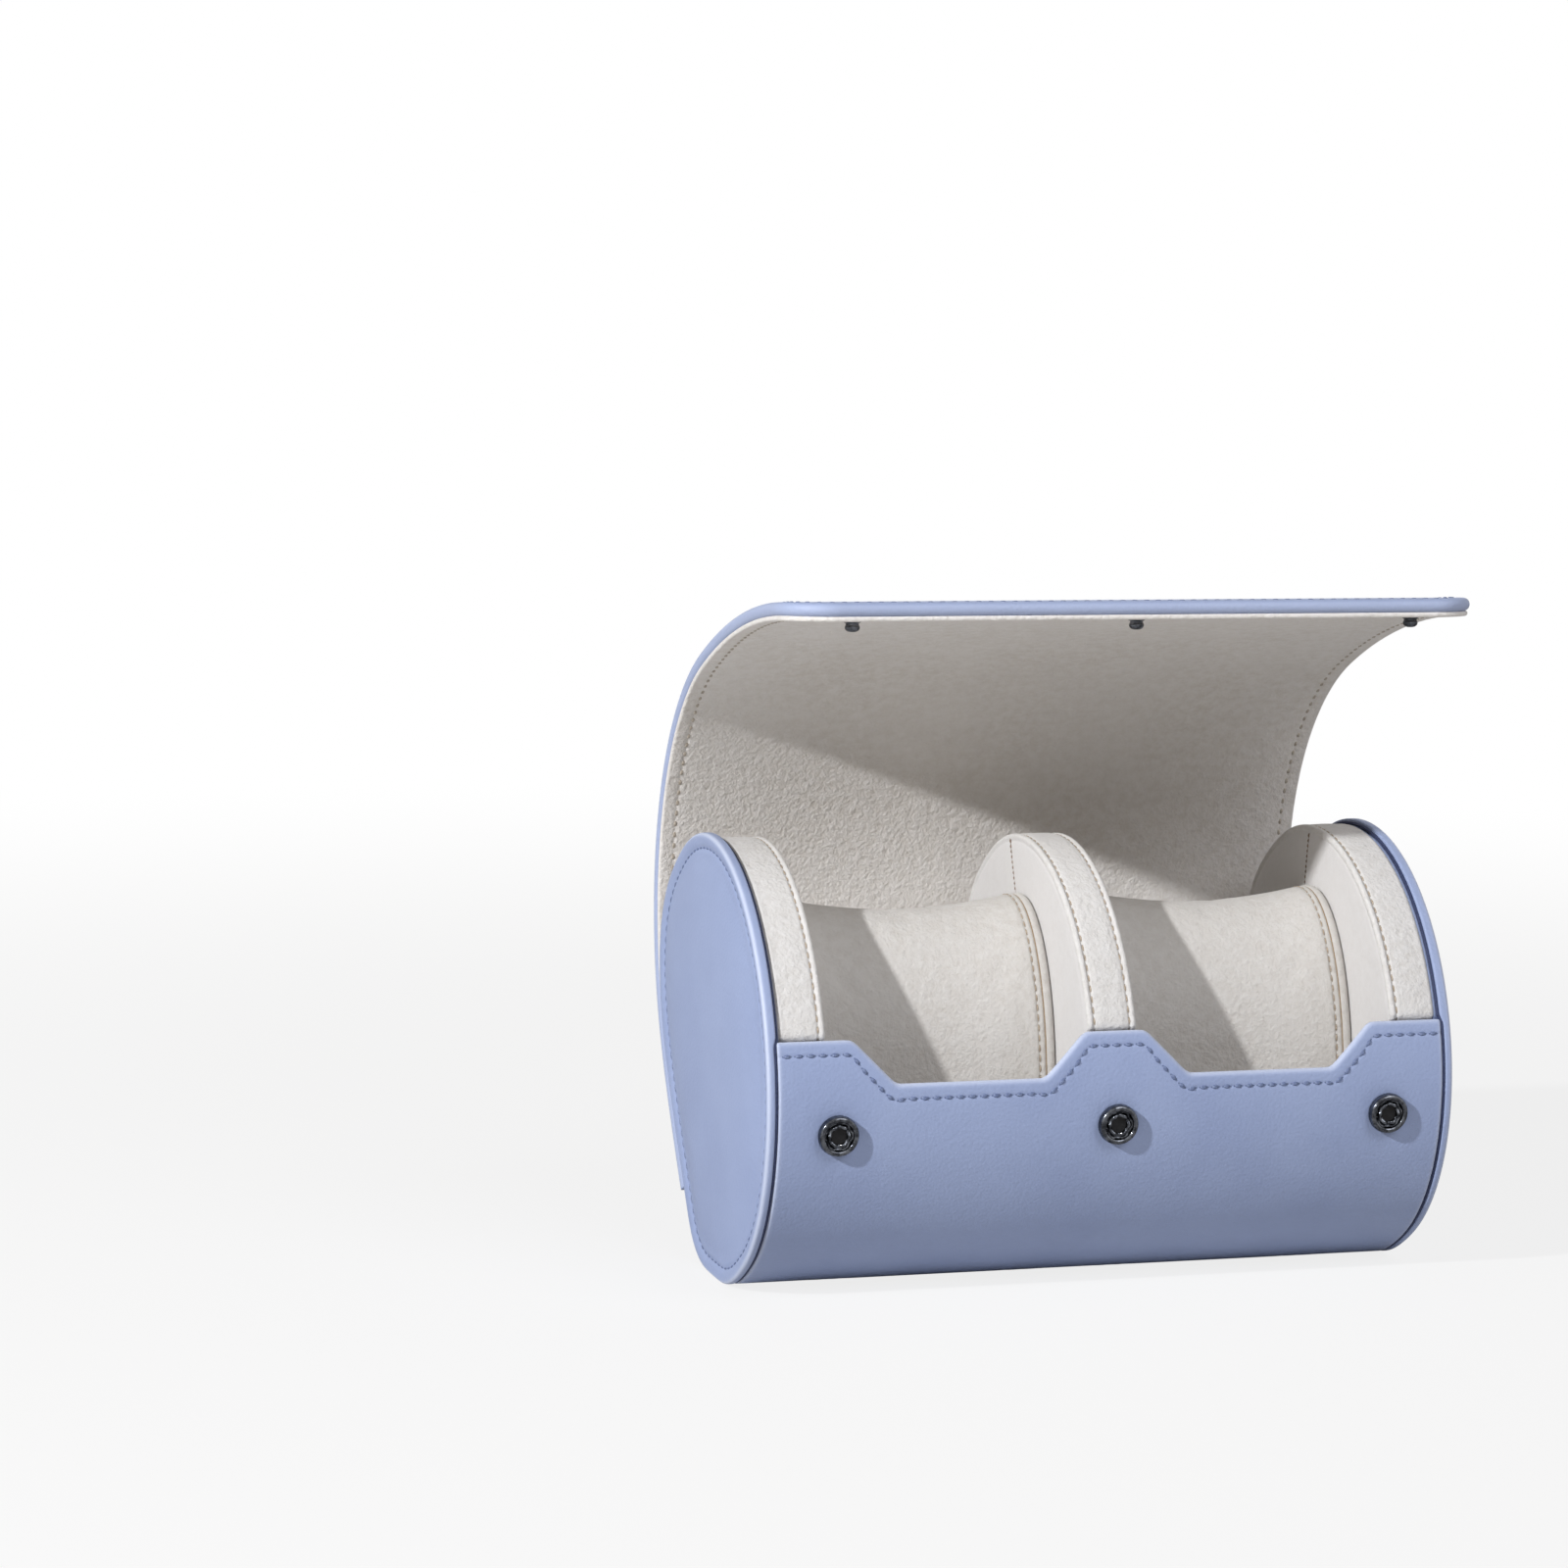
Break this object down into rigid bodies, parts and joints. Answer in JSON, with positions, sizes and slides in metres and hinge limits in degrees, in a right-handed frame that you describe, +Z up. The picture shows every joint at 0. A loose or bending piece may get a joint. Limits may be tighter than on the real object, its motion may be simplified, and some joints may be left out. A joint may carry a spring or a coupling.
{
  "type": "watch roll",
  "caption": "Open travel watch roll: padded leather barrel with end caps, a divider, lift-out suede cushions, a jointed wrap-over flap and snap fasteners",
  "frame": {"origin": "the middle of the flat strip under the barrel that it stands on", "axes": "+X runs along the roll from its left end to its right end as the snaps are faced, +Y points to the back where the flap is hinged, +Z points up"},
  "size_m": [0.1732, 0.1141, 0.1643],
  "materials": {
    "leather": "fine-grained calf leather, satin",
    "suede": "napped suede, matte",
    "board": "stiff fibre board, matte",
    "foam": "soft foam wadding, matte",
    "snap_metal": "black nickel plating, polished"
  },
  "bodies": {
    "barrel": {"wrap_leather": "leather", "wrap_board": "board", "wrap_lining": "suede", "left_cap_leather": "leather", "left_cap_foam": "foam", "left_cap_board": "board", "left_wall_pad_cover": "suede", "left_wall_pad_foam": "foam", "right_cap_leather": "leather", "right_cap_foam": "foam", "right_cap_board": "board", "right_wall_pad_cover": "suede", "right_wall_pad_foam": "foam", "divider_left_cover": "suede", "divider_left_foam": "foam", "divider_right_cover": "suede", "divider_right_foam": "foam", "divider_board": "board", "flap_root_leather": "leather", "flap_root_board": "board", "flap_root_lining": "suede", "snap_socket_left": "snap_metal", "socket_washer_left": "snap_metal", "snap_socket_middle": "snap_metal", "socket_washer_middle": "snap_metal", "snap_socket_right": "snap_metal", "socket_washer_right": "snap_metal"},
    "left_cushion": {"left_cushion_sleeve": "suede", "left_cushion_core": "foam", "left_cushion_inner_end": "suede", "left_cushion_outer_end": "suede"},
    "right_cushion": {"right_cushion_sleeve": "suede", "right_cushion_core": "foam", "right_cushion_inner_end": "suede", "right_cushion_outer_end": "suede"},
    "flap_strip_1": {"flap_strip_1_leather": "leather", "flap_strip_1_board": "board", "flap_strip_1_lining": "suede"},
    "flap_strip_2": {"flap_strip_2_leather": "leather", "flap_strip_2_board": "board", "flap_strip_2_lining": "suede"},
    "flap_strip_3": {"flap_strip_3_leather": "leather", "flap_strip_3_board": "board", "flap_strip_3_lining": "suede"},
    "flap_strip_4": {"flap_strip_4_leather": "leather", "flap_strip_4_board": "board", "flap_strip_4_lining": "suede"},
    "flap_strip_5": {"flap_strip_5_leather": "leather", "flap_strip_5_board": "board", "flap_strip_5_lining": "suede"},
    "flap_strip_6": {"flap_strip_6_leather": "leather", "flap_strip_6_board": "board", "flap_strip_6_lining": "suede", "snap_stud_left": "snap_metal", "stud_washer_left": "snap_metal", "snap_stud_middle": "snap_metal", "stud_washer_middle": "snap_metal", "snap_stud_right": "snap_metal", "stud_washer_right": "snap_metal"}
  },
  "joints": [
    {"name": "flap_bend_1", "type": "hinge", "parent": "barrel", "child": "flap_strip_1", "pos_m": [0, 0.05279, 0.06186], "axis": [1, 0, 0], "range_deg": [0, 15.99]},
    {"name": "flap_bend_2", "type": "hinge", "parent": "flap_strip_1", "child": "flap_strip_2", "pos_m": [0, 0.05579, 0.08057], "axis": [1, 0, 0], "range_deg": [0, 18.9]},
    {"name": "flap_bend_3", "type": "hinge", "parent": "flap_strip_2", "child": "flap_strip_3", "pos_m": [0, 0.05026, 0.11031], "axis": [1, 0, 0], "range_deg": [0, 12.45]},
    {"name": "flap_bend_4", "type": "hinge", "parent": "flap_strip_3", "child": "flap_strip_4", "pos_m": [0, 0.02469, 0.13959], "axis": [1, 0, 0], "range_deg": [0, 10.09]},
    {"name": "flap_bend_5", "type": "hinge", "parent": "flap_strip_4", "child": "flap_strip_5", "pos_m": [0, 0.00102, 0.15025], "axis": [1, 0, 0], "range_deg": [0, 16.71]},
    {"name": "flap_bend_6", "type": "hinge", "parent": "flap_strip_5", "child": "flap_strip_6", "pos_m": [0, -0.03138, 0.15861], "axis": [1, 0, 0], "range_deg": [0, 14.48]},
    {"name": "left_cushion_lift", "type": "slide", "parent": "barrel", "child": "left_cushion", "axis": [0, 0, 1], "range_m": [0, 0.012]},
    {"name": "right_cushion_lift", "type": "slide", "parent": "barrel", "child": "right_cushion", "axis": [0, 0, 1], "range_m": [0, 0.012]}
  ],
  "couplings": [
    {"joint": "flap_bend_1", "follows": "flap_bend_2", "ratio": 0.84546},
    {"joint": "flap_bend_3", "follows": "flap_bend_2", "ratio": 0.65786},
    {"joint": "flap_bend_4", "follows": "flap_bend_2", "ratio": 0.53301},
    {"joint": "flap_bend_5", "follows": "flap_bend_2", "ratio": 0.88333},
    {"joint": "flap_bend_6", "follows": "flap_bend_2", "ratio": 0.76508}
  ]
}
